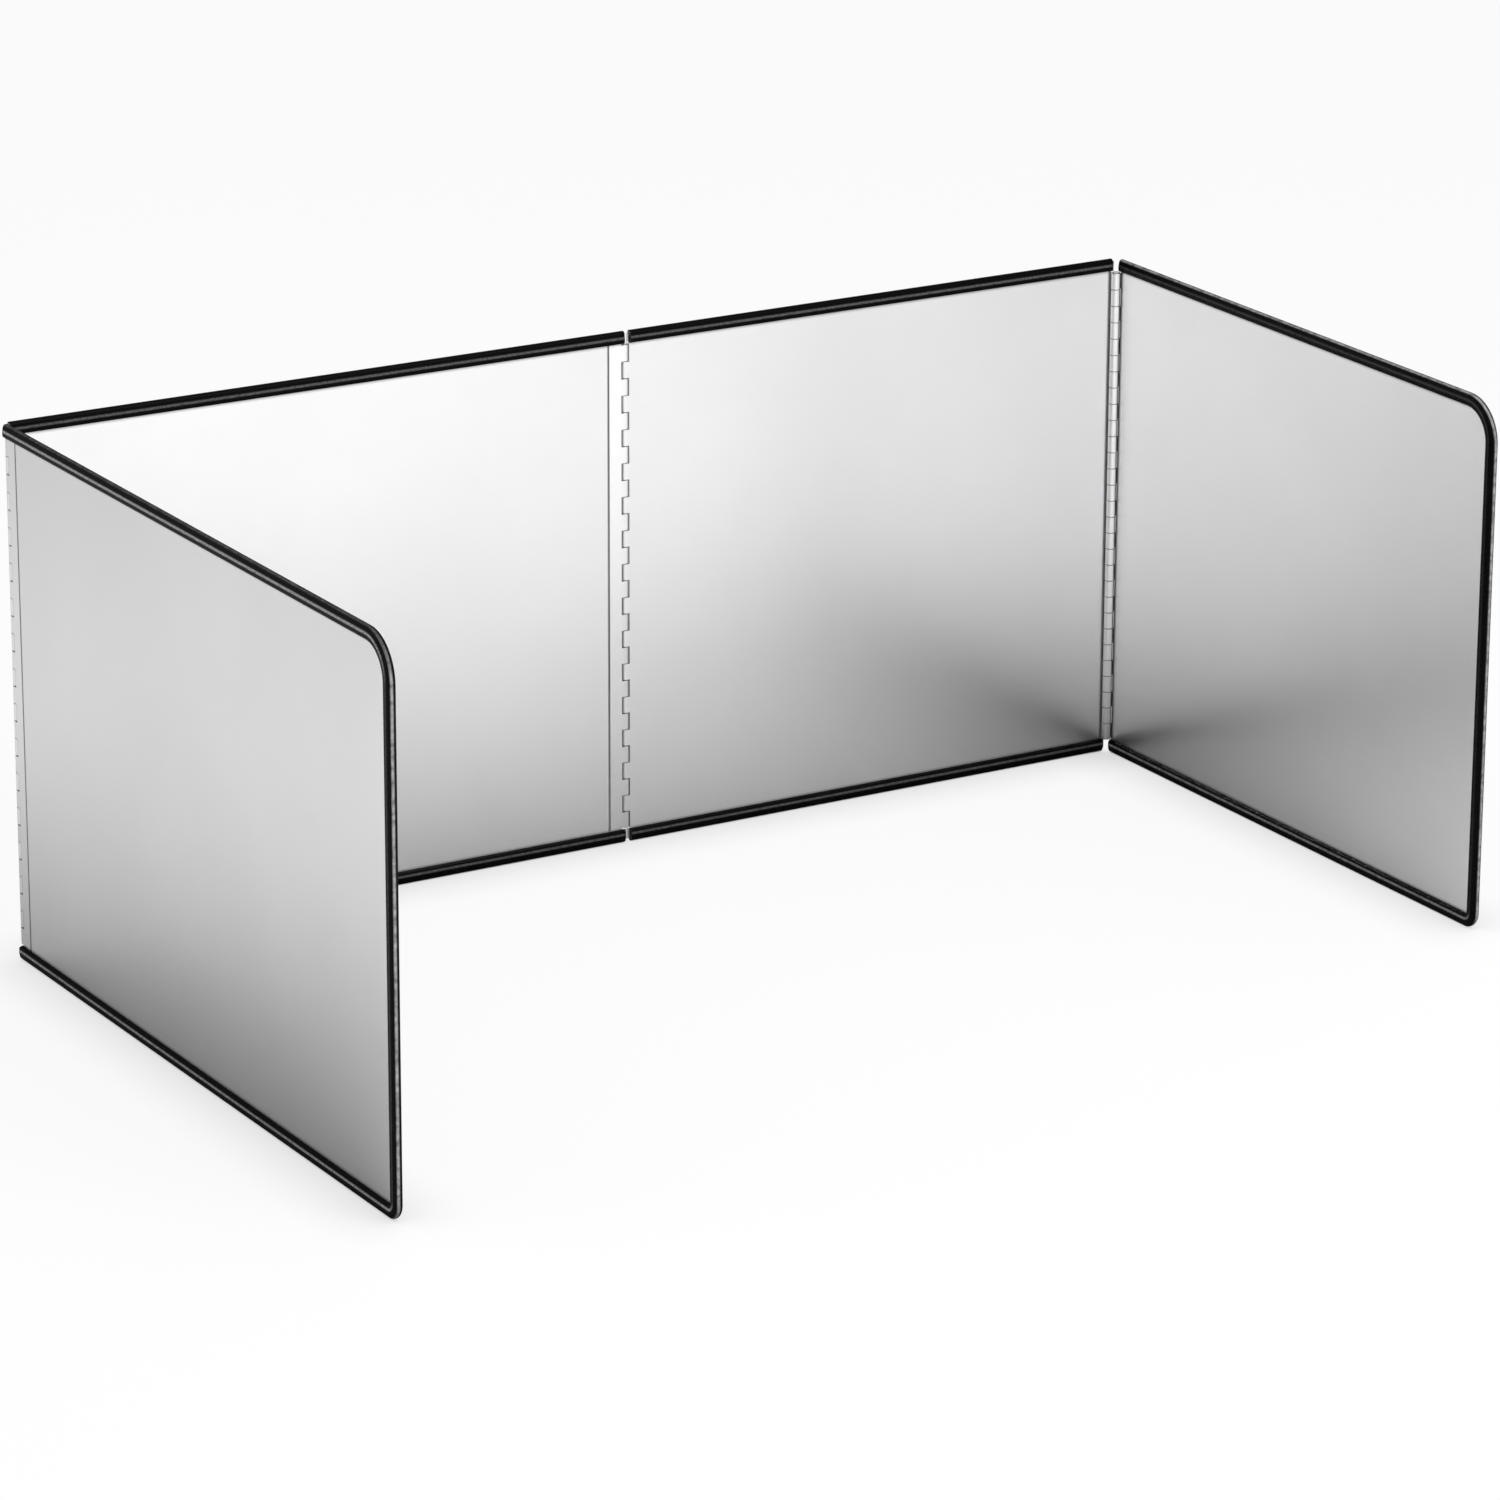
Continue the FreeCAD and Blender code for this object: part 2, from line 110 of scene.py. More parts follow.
HINGE_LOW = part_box("left_hinge_pin")[0].z + PIN_STAND_OUT
HINGE_PITCH = (HEIGHT - 2 * HINGE_LOW) / (2 * KNUCKLE_PAIRS + 1)
SHEET_LOW = TRIM_WALL
SHEET_HIGH = HEIGHT - TRIM_WALL
MOUTH_LOW = TRIM_WALL + TRIM_COVER
MOUTH_HIGH = HEIGHT - MOUTH_LOW
FLANGE_LOW = MOUTH_LOW + FLANGE_CLEARANCE
FLANGE_HIGH = HEIGHT - FLANGE_LOW

EAST = Vector((1, 0))
NORTH = Vector((0, 1))


def finish_mesh(name, bm, materials, body):
    """Turn a bmesh into a smooth-shaded piece that stands for the CAD node it is named after."""
    bmesh.ops.recalc_face_normals(bm, faces=bm.faces)
    mesh = bpy.data.meshes.new(name)
    bm.to_mesh(mesh)
    bm.free()
    mesh.shade_smooth()
    mesh.set_sharp_from_angle(angle=SHARP_ANGLE)
    for material in materials:
        mesh.materials.append(material)
    piece = bpy.data.objects.new(name, mesh)
    bpy.context.scene.collection.objects.link(piece)
    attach(piece, body)
    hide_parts(name.removesuffix("_fine"))


# ---------------------------------------------------------------------------
# Sheets with their hinge edges
# ---------------------------------------------------------------------------
class Leaf:
    """Places on the floor plan about a hinge: reach along the leaf, offset towards its side.

    A swapped leaf lists its two faces the other way round, so that it can close the skin of a
    sheet whose first leaf faces the other way.
    """

    def __init__(self, hinge, run, side, swapped=False):
        self.axis = AXES[hinge]
        self.run = run
        self.side = side
        self.swapped = swapped

    def at(self, reach, offset):
        return self.axis + self.run * reach + self.side * offset

    def pair(self, outer, inner):
        """A place on each of the sheet's faces, in the leaf's order."""
        return (inner, outer) if self.swapped else (outer, inner)

    def faces(self, reach, outer=ROLL_OUTER, inner=ROLL_INNER):
        """The places of the sheet's two faces."""
        return self.pair(self.at(reach, outer), self.at(reach, inner))

    def roll(self):
        """The faces along a knuckle, from the leaf's line round the pin."""
        flap = []
        for step in range(ROLL_STEPS + 1):
            angle = ROLL_END * step / ROLL_STEPS
            sine, cosine = math.sin(angle), math.cos(angle)
            places = [self.at(-r * sine, r * cosine) for r in (ROLL_OUTER, ROLL_INNER)]
            flap.append(self.pair(*places))
        return flap

    def flange(self):
        """The faces along the step that passes behind a hinge strip."""
        inner = ROLL_INNER - SHEET
        return [self.faces(reach, ROLL_INNER, inner) for reach in (STRIP_WIDTH, STRIP_NOTCH)]


def knuckle_spans(which):
    """The lowest and highest place of each knuckle of the outer or inner set."""
    first = HINGE_LOW + KNUCKLE_GAP / 2 + (HINGE_PITCH if which == "inner" else 0)
    count = KNUCKLE_PAIRS + (1 if which == "outer" else 0)
    lows = [first + 2 * HINGE_PITCH * index for index in range(count)]
    return [(low, low + HINGE_PITCH - KNUCKLE_GAP) for low in lows]


def hinge_edge(leaf, which, notch_reach=PANEL_NOTCH):
    """A leaf's corners down its hinge edge. A corner is (faces, height, flap that starts there)."""
    tab = leaf.faces(LEAF_GAP / 2)
    notch = leaf.faces(notch_reach)
    roll = leaf.roll()
    corners = [(tab, SHEET_HIGH, None), (tab, MOUTH_HIGH, None), (notch, MOUTH_HIGH, None)]
    for low, high in reversed(knuckle_spans(which)):
        corners += [(notch, high, roll), (notch, low, None)]
    return corners + [(notch, MOUTH_LOW, None), (tab, MOUTH_LOW, None), (tab, SHEET_LOW, None)]


def lap_edge(leaf):
    """A sheet's corners down the edge that steps behind a strip."""
    edge = leaf.faces(JOGGLE_EDGE)
    heights = (SHEET_HIGH, FLANGE_HIGH, FLANGE_LOW, SHEET_LOW)
    flaps = (None, leaf.flange(), None, None)
    return [(edge, height, flap) for height, flap in zip(heights, flaps)]


def plain_edge(leaf, reach):
    """Two square corners, from the top to the foot."""
    return [(leaf.faces(reach), height, None) for height in (SHEET_HIGH, SHEET_LOW)]


def round_edge(leaf, reach):
    """A free edge with a large upper and a small lower corner, from the top to the foot."""
    corners = []
    for radius, height, first in ((TOP_CORNER, SHEET_HIGH, 90), (BOTTOM_CORNER, SHEET_LOW, 0)):
        radius += TRIM_COVER
        centre = height - radius if first else height + radius
        for step in range(CORNER_STEPS + 1):
            angle = math.radians(first - 90 * step / CORNER_STEPS)
            spot = reach - radius + radius * math.cos(angle)
            corners.append((leaf.faces(spot), centre + radius * math.sin(angle), None))
    return corners


def upwards(corners):
    """The same edge, run through from its foot to its top."""
    flaps = [corner[2] for corner in corners[-2::-1]] + [None]
    return [(faces, height, flap) for (faces, height, _), flap in zip(corners[::-1], flaps)]


def sheet(name, corners, material, body):
    """A sheet-steel piece in one closed skin: two faces, their rim, and flaps leaving the rim."""
    bm = bmesh.new()
    front = [bm.verts.new((*faces[0], height)) for faces, height, _ in corners]
    back = [bm.verts.new((*faces[1], height)) for faces, height, _ in corners]
    bm.faces.new(front)
    bm.faces.new(back)
    for index, (_, height, flap) in enumerate(corners):
        after = (index + 1) % len(corners)
        if flap is None:
            bm.faces.new((front[index], back[index], back[after], front[after]))
            continue
        rails = []
        for corner in (index, after):
            level = corners[corner][1]
            rail = [(front[corner], back[corner])]
            rail += [tuple(bm.verts.new((*place, level)) for place in pair) for pair in flap]
            rails.append(rail)
        for upper, lower in zip(zip(rails[0], rails[0][1:]), zip(rails[1], rails[1][1:])):
            for side in (0, 1):
                bm.faces.new((upper[0][side], upper[1][side], lower[1][side], lower[0][side]))
            for cap in (upper, lower):
                bm.faces.new((cap[0][0], cap[0][1], cap[1][1], cap[1][0]))
        bm.faces.new((*rails[0][-1], *rails[1][-1][::-1]))
    finish_mesh(name, bm, [material], body)


# ---------------------------------------------------------------------------
# Rubber channel
# ---------------------------------------------------------------------------
PAINTED_HIGHLIGHT_RISE = 0.0006         # how far the painted highlight line on a level leg lies above its middle
# How strongly a grey highlight is painted on each channel's legs and back along the top, up the
# free edge and along the foot, and how far outwards from its middle the back's painted line lies
# there.
PAINTED_HIGHLIGHTS = {
    "left_end": {
        "leg": (1.0, 0.12, 1.0), "back": (0.16, 1.0, 0.1), "lean": (0.0009, 0.0009, 0.0009),
    },
    "left_back": {"leg": (0.22, 0, 0.2), "back": (0.05, 0, 0.05), "lean": (0, 0, 0)},
    "right_back": {"leg": (0.22, 0, 0.2), "back": (0.05, 0, 0.05), "lean": (0, 0, 0)},
    "right_end": {"leg": (0.1, 0.04, 0.6), "back": (0.6, 0.7, 0.1), "lean": (-0.001, 0, 0)},
}


def arc(centre_x, centre_y, radius, first, last):
    """Places along an arc, its two ends included."""
    angles = [first + (last - first) * step / ARC_STEPS for step in range(ARC_STEPS + 1)]
    return [(centre_x + radius * math.cos(a), centre_y + radius * math.sin(a)) for a in angles]


def trim_profile():
    """Half of the channel's outline in three runs: its lip, its leg and half of its back.

    x runs across the sheet and y outwards from its edge.
    """
    shoulder = TRIM_WIDTH / 2 - TRIM_CROWN
    shoulder_depth = TRIM_WALL - TRIM_ROUNDING
    half_chord = (shoulder_depth + TRIM_COVER) / 2
    radius = half_chord ** 2 / (2 * TRIM_CROWN) + TRIM_CROWN / 2
    lean = math.asin(half_chord / radius)
    leg = arc(shoulder + TRIM_CROWN - radius, shoulder_depth - half_chord, radius, -lean, lean)
    back = arc(shoulder - TRIM_ROUNDING, shoulder_depth, TRIM_ROUNDING, 0, math.pi / 2)
    lip = [
        (CHANNEL_WIDTH / 2, 0),
        (CHANNEL_WIDTH / 2, LIP_HEIGHT - TRIM_COVER),
        (SHEET / 2, LIP_LAND - TRIM_COVER),
        (SHEET / 2, -TRIM_COVER),
    ]
    # leg[1:] leaves out the corner of the leg's square foot, which the solid has: the foot is
    # slanted here. back[1:] only leaves out the place that the leg ends on.
    return lip, leg[1:], back[1:]


def mirrored(half):
    """A half outline and its mirror image, as one closed outline."""
    return half + [(-x, y) for x, y in half[::-1]]


def core_profile():
    """The outline of the core's cavity."""
    inner = CHANNEL_WIDTH / 2 + CORE_COVER - CORE_CLEARANCE
    outer = CHANNEL_WIDTH / 2 + CORE_COVER + CORE_GAUGE + CORE_CLEARANCE
    top = CORE_COVER + CORE_GAUGE + CORE_CLEARANCE
    under = CORE_COVER - CORE_CLEARANCE
    foot = CORE_TOE - TRIM_COVER - CORE_CLEARANCE
    outside = mirrored([(outer, foot), (outer, top)])
    return outside + [(-inner, foot), (-inner, under), (inner, under), (inner, foot)]


def straight_run(low, high, outward):
    """Stations along a sheet's top or foot: (reach, height, outward reach, outward height)."""
    height = SHEET_HIGH if outward > 0 else SHEET_LOW
    return [(reach, height, 0, outward) for reach in (low, high)]


def round_run(start, reach):
    """Stations round an end panel: along its foot, up its free edge and back along its top."""
    stations = [(start, SHEET_LOW, 0, -1)]
    for radius, height, first in ((BOTTOM_CORNER, SHEET_LOW, -90), (TOP_CORNER, SHEET_HIGH, 0)):
        radius += TRIM_COVER
        centre = height + radius if first else height - radius
        for step in range(CORNER_STEPS + 1):
            angle = math.radians(first + 90 * step / CORNER_STEPS)
            out, up = math.cos(angle), math.sin(angle)
            stations.append((reach - radius + radius * out, centre + radius * up, out, up))
    return stations + [(start, SHEET_HIGH, 0, 1)]


def girth(places):
    """The length along a row of places."""
    return sum(math.dist(here, there) for here, there in zip(places, places[1:]))


LIP, LEG, BACK = trim_profile()
OUTLINE = mirrored(LIP + LEG + BACK)
CAVITY = core_profile()
SHOULDER = len(LIP + LEG) - 1       # the outline's side where the back starts
BACK_SIDES = range(SHOULDER, len(OUTLINE) - SHOULDER - 1)
HALF_BACK = girth(LEG[-1:] + BACK) + BACK[-1][0]
BACK_MIDDLE = girth(LIP + LEG) + HALF_BACK
LEG_MIDDLE = HALF_BACK + girth(LEG) / 2


def along_run(values, up):
    """The value where the channel faces up (1), sideways (0), down (-1) or between them."""
    top, upright, foot = values
    return upright + ((top if up > 0 else foot) - upright) * abs(up)


def painted_highlight_at(painted_highlight, on_back, outwards, up):
    """The share of painted highlight at a place on the channel, and the girth from its back's
    middle to there.

    On the back the girth is signed, less the painted highlight line's lean. On the legs it is
    unsigned, and moved so that the line lies above the middle of a level leg.
    """
    if on_back:
        return along_run(painted_highlight["back"], up), outwards - along_run(painted_highlight["lean"], up)
    return along_run(painted_highlight["leg"], up), abs(outwards) + PAINTED_HIGHLIGHT_RISE * up


def trim(name, leaf, stations, body):
    """A rubber channel swept along its stations, with the core's cavity inside it."""
    bm = bmesh.new()
    # this UV map carries where a grey highlight is painted on the rubber: its share, and the girth
    # to its line
    wear = bm.loops.layers.uv.new("wear")
    loops = (OUTLINE, CAVITY)
    swept = []
    for loop in loops:
        rings = []
        for reach, height, out, up in stations:
            ring = []
            for x, y in loop:
                place = leaf.at(reach + out * y, AXIS_OFFSET + x)
                ring.append(bm.verts.new((*place, height + up * y)))
            rings.append(ring)
        swept.append(rings)
        closed = loop + loop[:1]
        outwards = [BACK_MIDDLE - girth(closed[: side + 1]) for side in range(len(closed))]
        for row in range(len(rings) - 1):
            here, ahead = rings[row], rings[row + 1]
            for side in range(len(loop)):
                after = (side + 1) % len(loop)
                face = bm.faces.new((here[side], here[after], ahead[after], ahead[side]))
                on_back = loop is OUTLINE and side in BACK_SIDES
                face.material_index = int(on_back)
                spots = ((row, side), (row, side + 1), (row + 1, side + 1), (row + 1, side))
                for corner, (r, s) in zip(face.loops, spots):
                    # each corner gets the share of painted highlight there and its girth from the
                    # painted line
                    corner[wear].uv = painted_highlight_at(PAINTED_HIGHLIGHTS[body], on_back, outwards[s], stations[r][3])
    triangles = tessellate_polygon([[Vector((x, y, 0)) for x, y in loop] for loop in loops])
    for end in (0, -1):
        corners = swept[0][end] + swept[1][end]
        for triangle in triangles:
            bm.faces.new([corners[index] for index in triangle])
    finish_mesh(name, bm, [rubber, rubber_grained], body)


# ---------------------------------------------------------------------------
# Materials
# ---------------------------------------------------------------------------
AO_SAMPLES = 8
NOISE_LOW = 0.3             # the part of a noise's range that it mostly keeps to
NOISE_HIGH = 0.7
CLOUD_SCALE = 9.0           # the steel's faint clouds
CLOUD_DETAIL = 3.0
CLOUD_DIMMING = 0.96
GRAIN_SCALE = 2600.0        # the steel's grain, drawn out level
GRAIN_STRETCH = (0.02, 0.02, 1.0)
GRAIN_DEPTH = 0.0000004
# Shade painted into the steel's colour in crevices, where other parts stand close by
CREVICE_REACH = 0.002
PAINTED_CREVICE_SHADE = 0.52        # what the shade painted in a crevice keeps of the steel's colour
CREVICE_CLOSED = 0.75       # how open a place is where that shade is full, and where it ends
CREVICE_OPEN = 0.97
RUBBER_GLOSS = 0.04
RUBBER_BLACK = (0.002, 0.002, 0.002, 1)
# the grey of the highlight painted along the rubber, from its darker to its lighter beads
PAINTED_HIGHLIGHT_DARK = (0.2, 0.2, 0.2)
PAINTED_HIGHLIGHT_LIGHT = (0.55, 0.55, 0.55)
RUBBER_UNEVENNESS = 0.06    # how far the roughness strays


def link(tree, value, socket):
    """Give a socket a number or another node's output."""
    if isinstance(value, (int, float)):
        socket.default_value = value
    else:
        tree.links.new(value, socket)


def arithmetic(tree, operation, *values):
    """A math node's result."""
    node = tree.nodes.new("ShaderNodeMath")
    node.operation = operation
    for value, socket in zip(values, node.inputs):
        link(tree, value, socket)
    return node.outputs[0]


def map_range(tree, value, start, end, low, high, smooth=False):
    """A value's place between start and end, as a number from low to high."""
    node = tree.nodes.new("ShaderNodeMapRange")
    if smooth:
        node.interpolation_type = "SMOOTHSTEP"
    limits = {"From Min": start, "From Max": end, "To Min": low, "To Max": high}
    for label, limit in limits.items():
        node.inputs[label].default_value = limit
    tree.links.new(value, node.inputs["Value"])
    return node.outputs["Result"]


def openness(tree, reach):
    """How open a place is to the air within a reach: 1 where nothing stands close by."""
    node = tree.nodes.new("ShaderNodeAmbientOcclusion")
    node.samples = AO_SAMPLES
    node.inputs["Distance"].default_value = reach
    return node.outputs["AO"]


def new_material(name):
    """An empty node material with a Principled shader."""
    material = bpy.data.materials.new(name)
    material.use_nodes = True
    nodes = material.node_tree.nodes
    nodes.clear()
    output = nodes.new("ShaderNodeOutputMaterial")
    shader = nodes.new("ShaderNodeBsdfPrincipled")
    material.node_tree.links.new(shader.outputs[0], output.inputs["Surface"])
    return material, shader


def noise(tree, scale, stretch=(1, 1, 1), detail=2.0):
    """The value of a noise texture in object coordinates, stretched along some axes."""
    coordinates = tree.nodes.new("ShaderNodeTexCoord")
    mapping = tree.nodes.new("ShaderNodeMapping")
    mapping.inputs["Scale"].default_value = stretch
    texture = tree.nodes.new("ShaderNodeTexNoise")
    texture.inputs["Scale"].default_value = scale
    texture.inputs["Detail"].default_value = detail
    tree.links.new(coordinates.outputs["Object"], mapping.inputs["Vector"])
    tree.links.new(mapping.outputs["Vector"], texture.inputs["Vector"])
    return texture.outputs["Fac"]


def spread(tree, value, low, high, socket):
    """Map a noise's value onto a range and give it to a socket."""
    tree.links.new(map_range(tree, value, NOISE_LOW, NOISE_HIGH, low, high), socket)


def tint(tree, value, dark, light, socket):
    """Blend two colours by a noise's value and give the result to a socket."""
    ramp = tree.nodes.new("ShaderNodeValToRGB")
    stops = ((NOISE_LOW, dark), (NOISE_HIGH, light))
    for stop, (position, colour) in zip(ramp.color_ramp.elements, stops):
        stop.position = position
        stop.color = (*colour, 1)
    tree.links.new(value, ramp.inputs["Fac"])
    tree.links.new(ramp.outputs["Color"], socket)


def bump(tree, shader, value, distance):
    """Raise the surface by a noise's value."""
    node = tree.nodes.new("ShaderNodeBump")
    node.inputs["Strength"].default_value = 1.0
    node.inputs["Distance"].default_value = distance
    tree.links.new(value, node.inputs["Height"])
    tree.links.new(node.outputs["Normal"], shader.inputs["Normal"])


def colour_mix(tree, blend_type="MIX"):
    """A node that mixes two colours."""
    node = tree.nodes.new("ShaderNodeMix")
    node.data_type = "RGBA"
    node.blend_type = blend_type
    return node


def painted_crevice_shade(tree, shader):
    """Paint shade into the base colour where other metal or rubber stands close by."""
    open_to_air = openness(tree, CREVICE_REACH)
    shade = map_range(tree, open_to_air, CREVICE_CLOSED, CREVICE_OPEN, PAINTED_CREVICE_SHADE, 1.0)
    dimmed = colour_mix(tree, "MULTIPLY")
    dimmed.inputs["Factor"].default_value = 1.0
    tree.links.new(shader.inputs["Base Color"].links[0].from_socket, dimmed.inputs["A"])
    tree.links.new(shade, dimmed.inputs["B"])
    tree.links.new(dimmed.outputs["Result"], shader.inputs["Base Color"])


def steel(name, colour, roughness, unevenness):
    """Satin stainless steel with a fine horizontal grain, and shade painted into its crevices."""
    material, shader = new_material(name)
    tree = material.node_tree
    shader.inputs["Metallic"].default_value = 1.0
    cloud = noise(tree, CLOUD_SCALE, detail=CLOUD_DETAIL)
    grain = noise(tree, GRAIN_SCALE, GRAIN_STRETCH)
    dark = tuple(CLOUD_DIMMING * channel for channel in colour)
    tint(tree, cloud, dark, colour, shader.inputs["Base Color"])
    # painted shade in the crevices
    painted_crevice_shade(tree, shader)
    spread(tree, grain, roughness - unevenness, roughness + unevenness, shader.inputs["Roughness"])
    bump(tree, shader, grain, GRAIN_DEPTH)
    return material


def painted_highlight_band(tree, line, core, fade):
    """A mask for a highlight painted along a line of the rubber channel, at a girth from its back's
    middle.
    """
    wear = tree.nodes.new("ShaderNodeUVMap")
    wear.uv_map = "wear"
    split = tree.nodes.new("ShaderNodeSeparateXYZ")
    tree.links.new(wear.outputs["UV"], split.inputs[0])
    share, place = split.outputs["X"], split.outputs["Y"]
    from_line = arithmetic(tree, "ABSOLUTE", arithmetic(tree, "SUBTRACT", place, line))
    mask = map_range(tree, from_line, core, core + fade, 1.0, 0.0, smooth=True)
    return arithmetic(tree, "MULTIPLY", mask, share)


def black_rubber(name, roughness, grain_scale, grain_depth, bead_scale, line, core, fade):
    """Black rubber with a grain, and a grey highlight painted in beads along a line."""
    material, shader = new_material(name)
    tree = material.node_tree
    shader.inputs["Specular IOR Level"].default_value = RUBBER_GLOSS
    pebbles = noise(tree, grain_scale)
    painted_highlight = colour_mix(tree)
    painted_highlight.inputs["A"].default_value = RUBBER_BLACK
    tree.links.new(painted_highlight_band(tree, line, core, fade), painted_highlight.inputs["Factor"])
    tint(tree, noise(tree, bead_scale), PAINTED_HIGHLIGHT_DARK, PAINTED_HIGHLIGHT_LIGHT, painted_highlight.inputs["B"])
    tree.links.new(painted_highlight.outputs["Result"], shader.inputs["Base Color"])
    rough, smooth = roughness + RUBBER_UNEVENNESS, roughness - RUBBER_UNEVENNESS
    spread(tree, pebbles, rough, smooth, shader.inputs["Roughness"])
    bump(tree, shader, pebbles, grain_depth)
    return material


panel_steel = steel("panel_steel", (0.94, 0.94, 0.945), roughness=0.3, unevenness=0.02)
# the strips' steel is painted a little lighter than the panels' to stand in for their brighter
# reflection
hinge_steel = steel("hinge_steel", (0.96, 0.96, 0.965), roughness=0.24, unevenness=0.02)
pin_steel = steel("pin_steel", (0.8, 0.8, 0.81), roughness=0.2, unevenness=0.03)
core_steel = steel("core_steel", (0.6, 0.6, 0.61), roughness=0.4, unevenness=0.04)
# grey highlights painted along the legs' crest and along the back's middle
rubber = black_rubber(
    "edge_rubber_smooth", roughness=0.3, grain_scale=700.0, grain_depth=0.00001,
    bead_scale=700.0, line=LEG_MIDDLE, core=0.0003, fade=0.0008,
)
rubber_grained = black_rubber(
    "edge_rubber_pebbled", roughness=0.45, grain_scale=800.0, grain_depth=0.00015,
    bead_scale=350.0, line=0.0, core=0.0002, fade=0.0010,
)

finishes = {
    "panel": panel_steel,
    "strip": hinge_steel,
    "pin": pin_steel,
    "core": core_steel,
    "trim": rubber,
}
for node_name, node in frame["nodes"].items():
    node.data.materials.clear()
    node.data.materials.append(finishes[node_name.rsplit("_", 1)[1]])

# ---------------------------------------------------------------------------
# Pieces
# ---------------------------------------------------------------------------
left_end_leaf = Leaf("left", -NORTH, -EAST)
right_end_leaf = Leaf("right", -NORTH, EAST)
left_back_leaf = Leaf("left", EAST, NORTH)
right_back_leaf = Leaf("middle", EAST, -NORTH)
middle_strip_leaf = Leaf("middle", -EAST, -NORTH, swapped=True)
far_right_back_leaf = Leaf("right", -EAST, NORTH, swapped=True)

left_end_reach = AXES["left"].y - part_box("left_end_panel")[0].y
right_end_reach = AXES["right"].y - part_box("right_end_panel")[0].y

sheet(
    "left_end_panel_fine",
    lap_edge(left_end_leaf) + upwards(round_edge(left_end_leaf, left_end_reach)),
    panel_steel, "left_end",
)
sheet(
    "right_end_panel_fine",
    hinge_edge(right_end_leaf, "outer") + upwards(round_edge(right_end_leaf, right_end_reach)),
    panel_steel, "right_end",
)
sheet(
    "left_back_panel_fine",
    hinge_edge(left_back_leaf, "inner") + upwards(lap_edge(middle_strip_leaf)),
    panel_steel, "left_back",
)
sheet(
    "right_back_panel_fine",
    hinge_edge(right_back_leaf, "inner") + upwards(hinge_edge(far_right_back_leaf, "inner")),
    panel_steel, "right_back",
)
for name, leaf, body in (
    ("left_hinge_strip_fine", left_end_leaf, "left_end"),
    ("middle_hinge_strip_fine", middle_strip_leaf, "left_back"),
):
    corners = hinge_edge(leaf, "outer", STRIP_NOTCH) + upwards(plain_edge(leaf, STRIP_WIDTH))
    sheet(name, corners, hinge_steel, body)

for panel, leaf in (("left_back", left_back_leaf), ("right_back", right_back_leaf)):
    for edge, outward in (("top", 1), ("bottom", -1)):
        node_name = f"{panel}_{edge}_trim"
        low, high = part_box(node_name)
        run = straight_run(low.x - leaf.axis.x, high.x - leaf.axis.x, outward)
        trim(f"{node_name}_fine", leaf, run, panel)
for body, leaf, reach in (
    ("left_end", left_end_leaf, left_end_reach),
    ("right_end", right_end_leaf, right_end_reach),
):
    start = leaf.axis.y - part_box(f"{body}_trim")[1].y
    trim(f"{body}_trim_fine", leaf, round_run(start, reach), body)

# ---------------------------------------------------------------------------
# Stage, light and camera
# ---------------------------------------------------------------------------
FLOOR_SIZE = 12.0
FLOOR_DROP = 0.0002
SHADE_REACH = 1.0           # how far round the object soft shade is painted into the floor
SHADE_DEPTH = 1.3
CONTACT_REACH = 0.045       # how far from the object the camera sees painted shade darken the floor
CONTACT_DEPTH = 0.3
CAMERA_WHITE = 0.93         # share of plain white in what the camera sees of the floor
GLOSS_WHITE = 0.15          # the same share in reflections
ROOM_LIGHT = 0.3
HORIZON_TOP = 0.12          # the height of a ray's direction where the room starts to dim
DIM_HEIGHT = 0.5            # and where it is as dim as overhead
DIM_LEVEL = 0.12
CAMERA_PLACE = Vector((-1.7858, -2.9416, 1.2703))
CAMERA_TURN = math.radians(30.928)
CAMERA_TILT = math.radians(18.44)
CAMERA_ROLL = math.radians(0.228)
LENS_MM = 160
SENSOR_MM = 36


def pale_floor():
    """A plain white floor with the lamps' shadows and shade painted round the object, in
    reflections most of all.
    """
    bpy.ops.mesh.primitive_plane_add(size=FLOOR_SIZE, location=(0, 0, -FLOOR_DROP))
    floor = bpy.context.object
    floor.name = "floor"
    material = bpy.data.materials.new("floor_white")
    material.use_nodes = True
    tree = material.node_tree
    tree.nodes.clear()
    output = tree.nodes.new("ShaderNodeOutputMaterial")
    matte = tree.nodes.new("ShaderNodeBsdfDiffuse")
    white = tree.nodes.new("ShaderNodeEmission")
    path = tree.nodes.new("ShaderNodeLightPath")
    mix = tree.nodes.new("ShaderNodeMixShader")
    to_camera = path.outputs["Is Camera Ray"]
    shade = arithmetic(tree, "POWER", openness(tree, SHADE_REACH), SHADE_DEPTH)
    contact = arithmetic(tree, "POWER", openness(tree, CONTACT_REACH), CONTACT_DEPTH)
    mirrored_ray = arithmetic(
        tree, "MAXIMUM", path.outputs["Is Glossy Ray"], path.outputs["Is Transmission Ray"]
    )
    tone = arithmetic(tree, "MAXIMUM", arithmetic(tree, "MULTIPLY", to_camera, contact), shade)
    seen = arithmetic(tree, "MULTIPLY", to_camera, CAMERA_WHITE)
    reflected = arithmetic(tree, "MULTIPLY", mirrored_ray, GLOSS_WHITE)
    link(tree, shade, matte.inputs["Color"])
    link(tree, tone, white.inputs["Strength"])
    link(tree, arithmetic(tree, "ADD", seen, reflected), mix.inputs["Fac"])
    link(tree, matte.outputs[0], mix.inputs[1])
    link(tree, white.outputs[0], mix.inputs[2])
    link(tree, mix.outputs[0], output.inputs["Surface"])
    floor.data.materials.append(material)


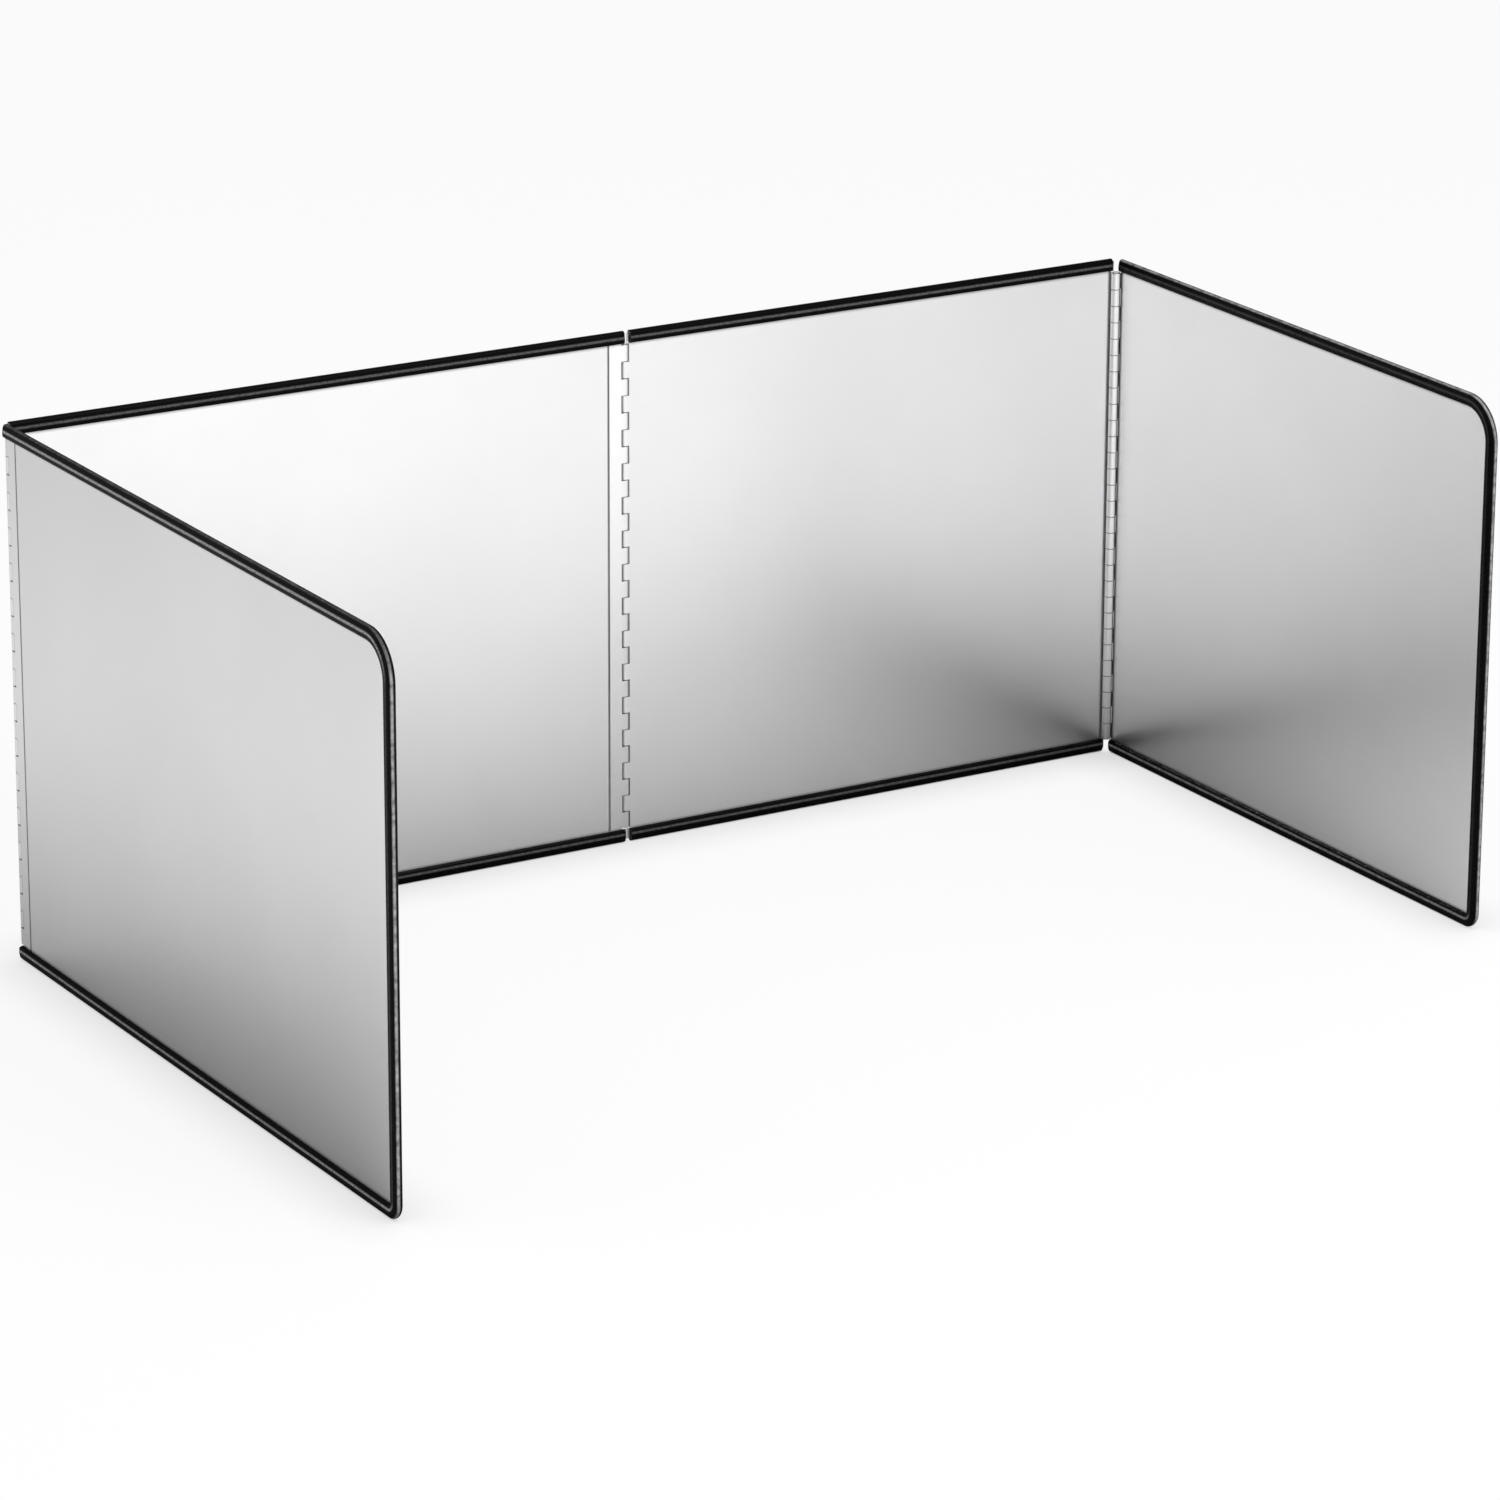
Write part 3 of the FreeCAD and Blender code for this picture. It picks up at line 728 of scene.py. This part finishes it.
def surroundings():
    """A pale room, white round the horizon and dim overhead, that lights the object evenly."""
    world = bpy.data.worlds.new("room")
    bpy.context.scene.world = world
    world.use_nodes = True
    tree = world.node_tree
    tree.nodes.clear()
    output = tree.nodes.new("ShaderNodeOutputWorld")
    room = tree.nodes.new("ShaderNodeBackground")
    room.inputs["Strength"].default_value = ROOM_LIGHT
    backdrop = tree.nodes.new("ShaderNodeBackground")
    path = tree.nodes.new("ShaderNodeLightPath")
    mix = tree.nodes.new("ShaderNodeMixShader")
    direction = tree.nodes.new("ShaderNodeTexCoord")
    split = tree.nodes.new("ShaderNodeSeparateXYZ")
    link(tree, direction.outputs["Generated"], split.inputs[0])
    level = map_range(tree, split.outputs["Z"], HORIZON_TOP, DIM_HEIGHT, 1.0, DIM_LEVEL)
    link(tree, level, backdrop.inputs["Strength"])
    rays = arithmetic(tree, "ADD", path.outputs["Is Camera Ray"], path.outputs["Is Glossy Ray"])
    rays = arithmetic(tree, "ADD", rays, path.outputs["Is Transmission Ray"])
    link(tree, rays, mix.inputs["Fac"])
    link(tree, room.outputs[0], mix.inputs[1])
    link(tree, backdrop.outputs[0], mix.inputs[2])
    link(tree, mix.outputs[0], output.inputs["Surface"])


def soft_light(name, bearing, climb, distance, size, power):
    """A round soft lamp, turned towards the object. Its bearing runs from the back to the right."""
    light = bpy.data.lights.new(name, "AREA")
    light.shape = "DISK"
    light.size = size
    light.energy = power
    lamp = bpy.data.objects.new(name, light)
    turn, rise = math.radians(bearing), math.radians(climb)
    level = distance * math.cos(rise)
    lamp.location = (level * math.sin(turn), level * math.cos(turn), distance * math.sin(rise))
    lamp.rotation_euler = (-lamp.location).to_track_quat("-Z", "Y").to_euler()
    lamp.visible_camera = False
    bpy.context.scene.collection.objects.link(lamp)


def set_camera():
    """The view from in front, to the left and a little above."""
    data = bpy.data.cameras.new("camera")
    data.sensor_width = SENSOR_MM
    data.lens = LENS_MM
    camera = bpy.data.objects.new("camera", data)
    camera.matrix_world = (
        Matrix.Translation(CAMERA_PLACE)
        @ Matrix.Rotation(-CAMERA_TURN, 4, "Z")
        @ Matrix.Rotation(math.pi / 2 - CAMERA_TILT, 4, "X")
        @ Matrix.Rotation(CAMERA_ROLL, 4, "Z")
    )
    bpy.context.scene.collection.objects.link(camera)
    bpy.context.scene.camera = camera


pale_floor()
surroundings()
soft_light("front", bearing=165, climb=50, distance=2.0, size=1.0, power=30)
soft_light("overhead", bearing=0, climb=90, distance=2.0, size=1.0, power=6)
soft_light("left", bearing=285, climb=28, distance=2.2, size=1.0, power=7)
set_camera()

settings = bpy.context.scene.view_settings
settings.view_transform = "Standard"
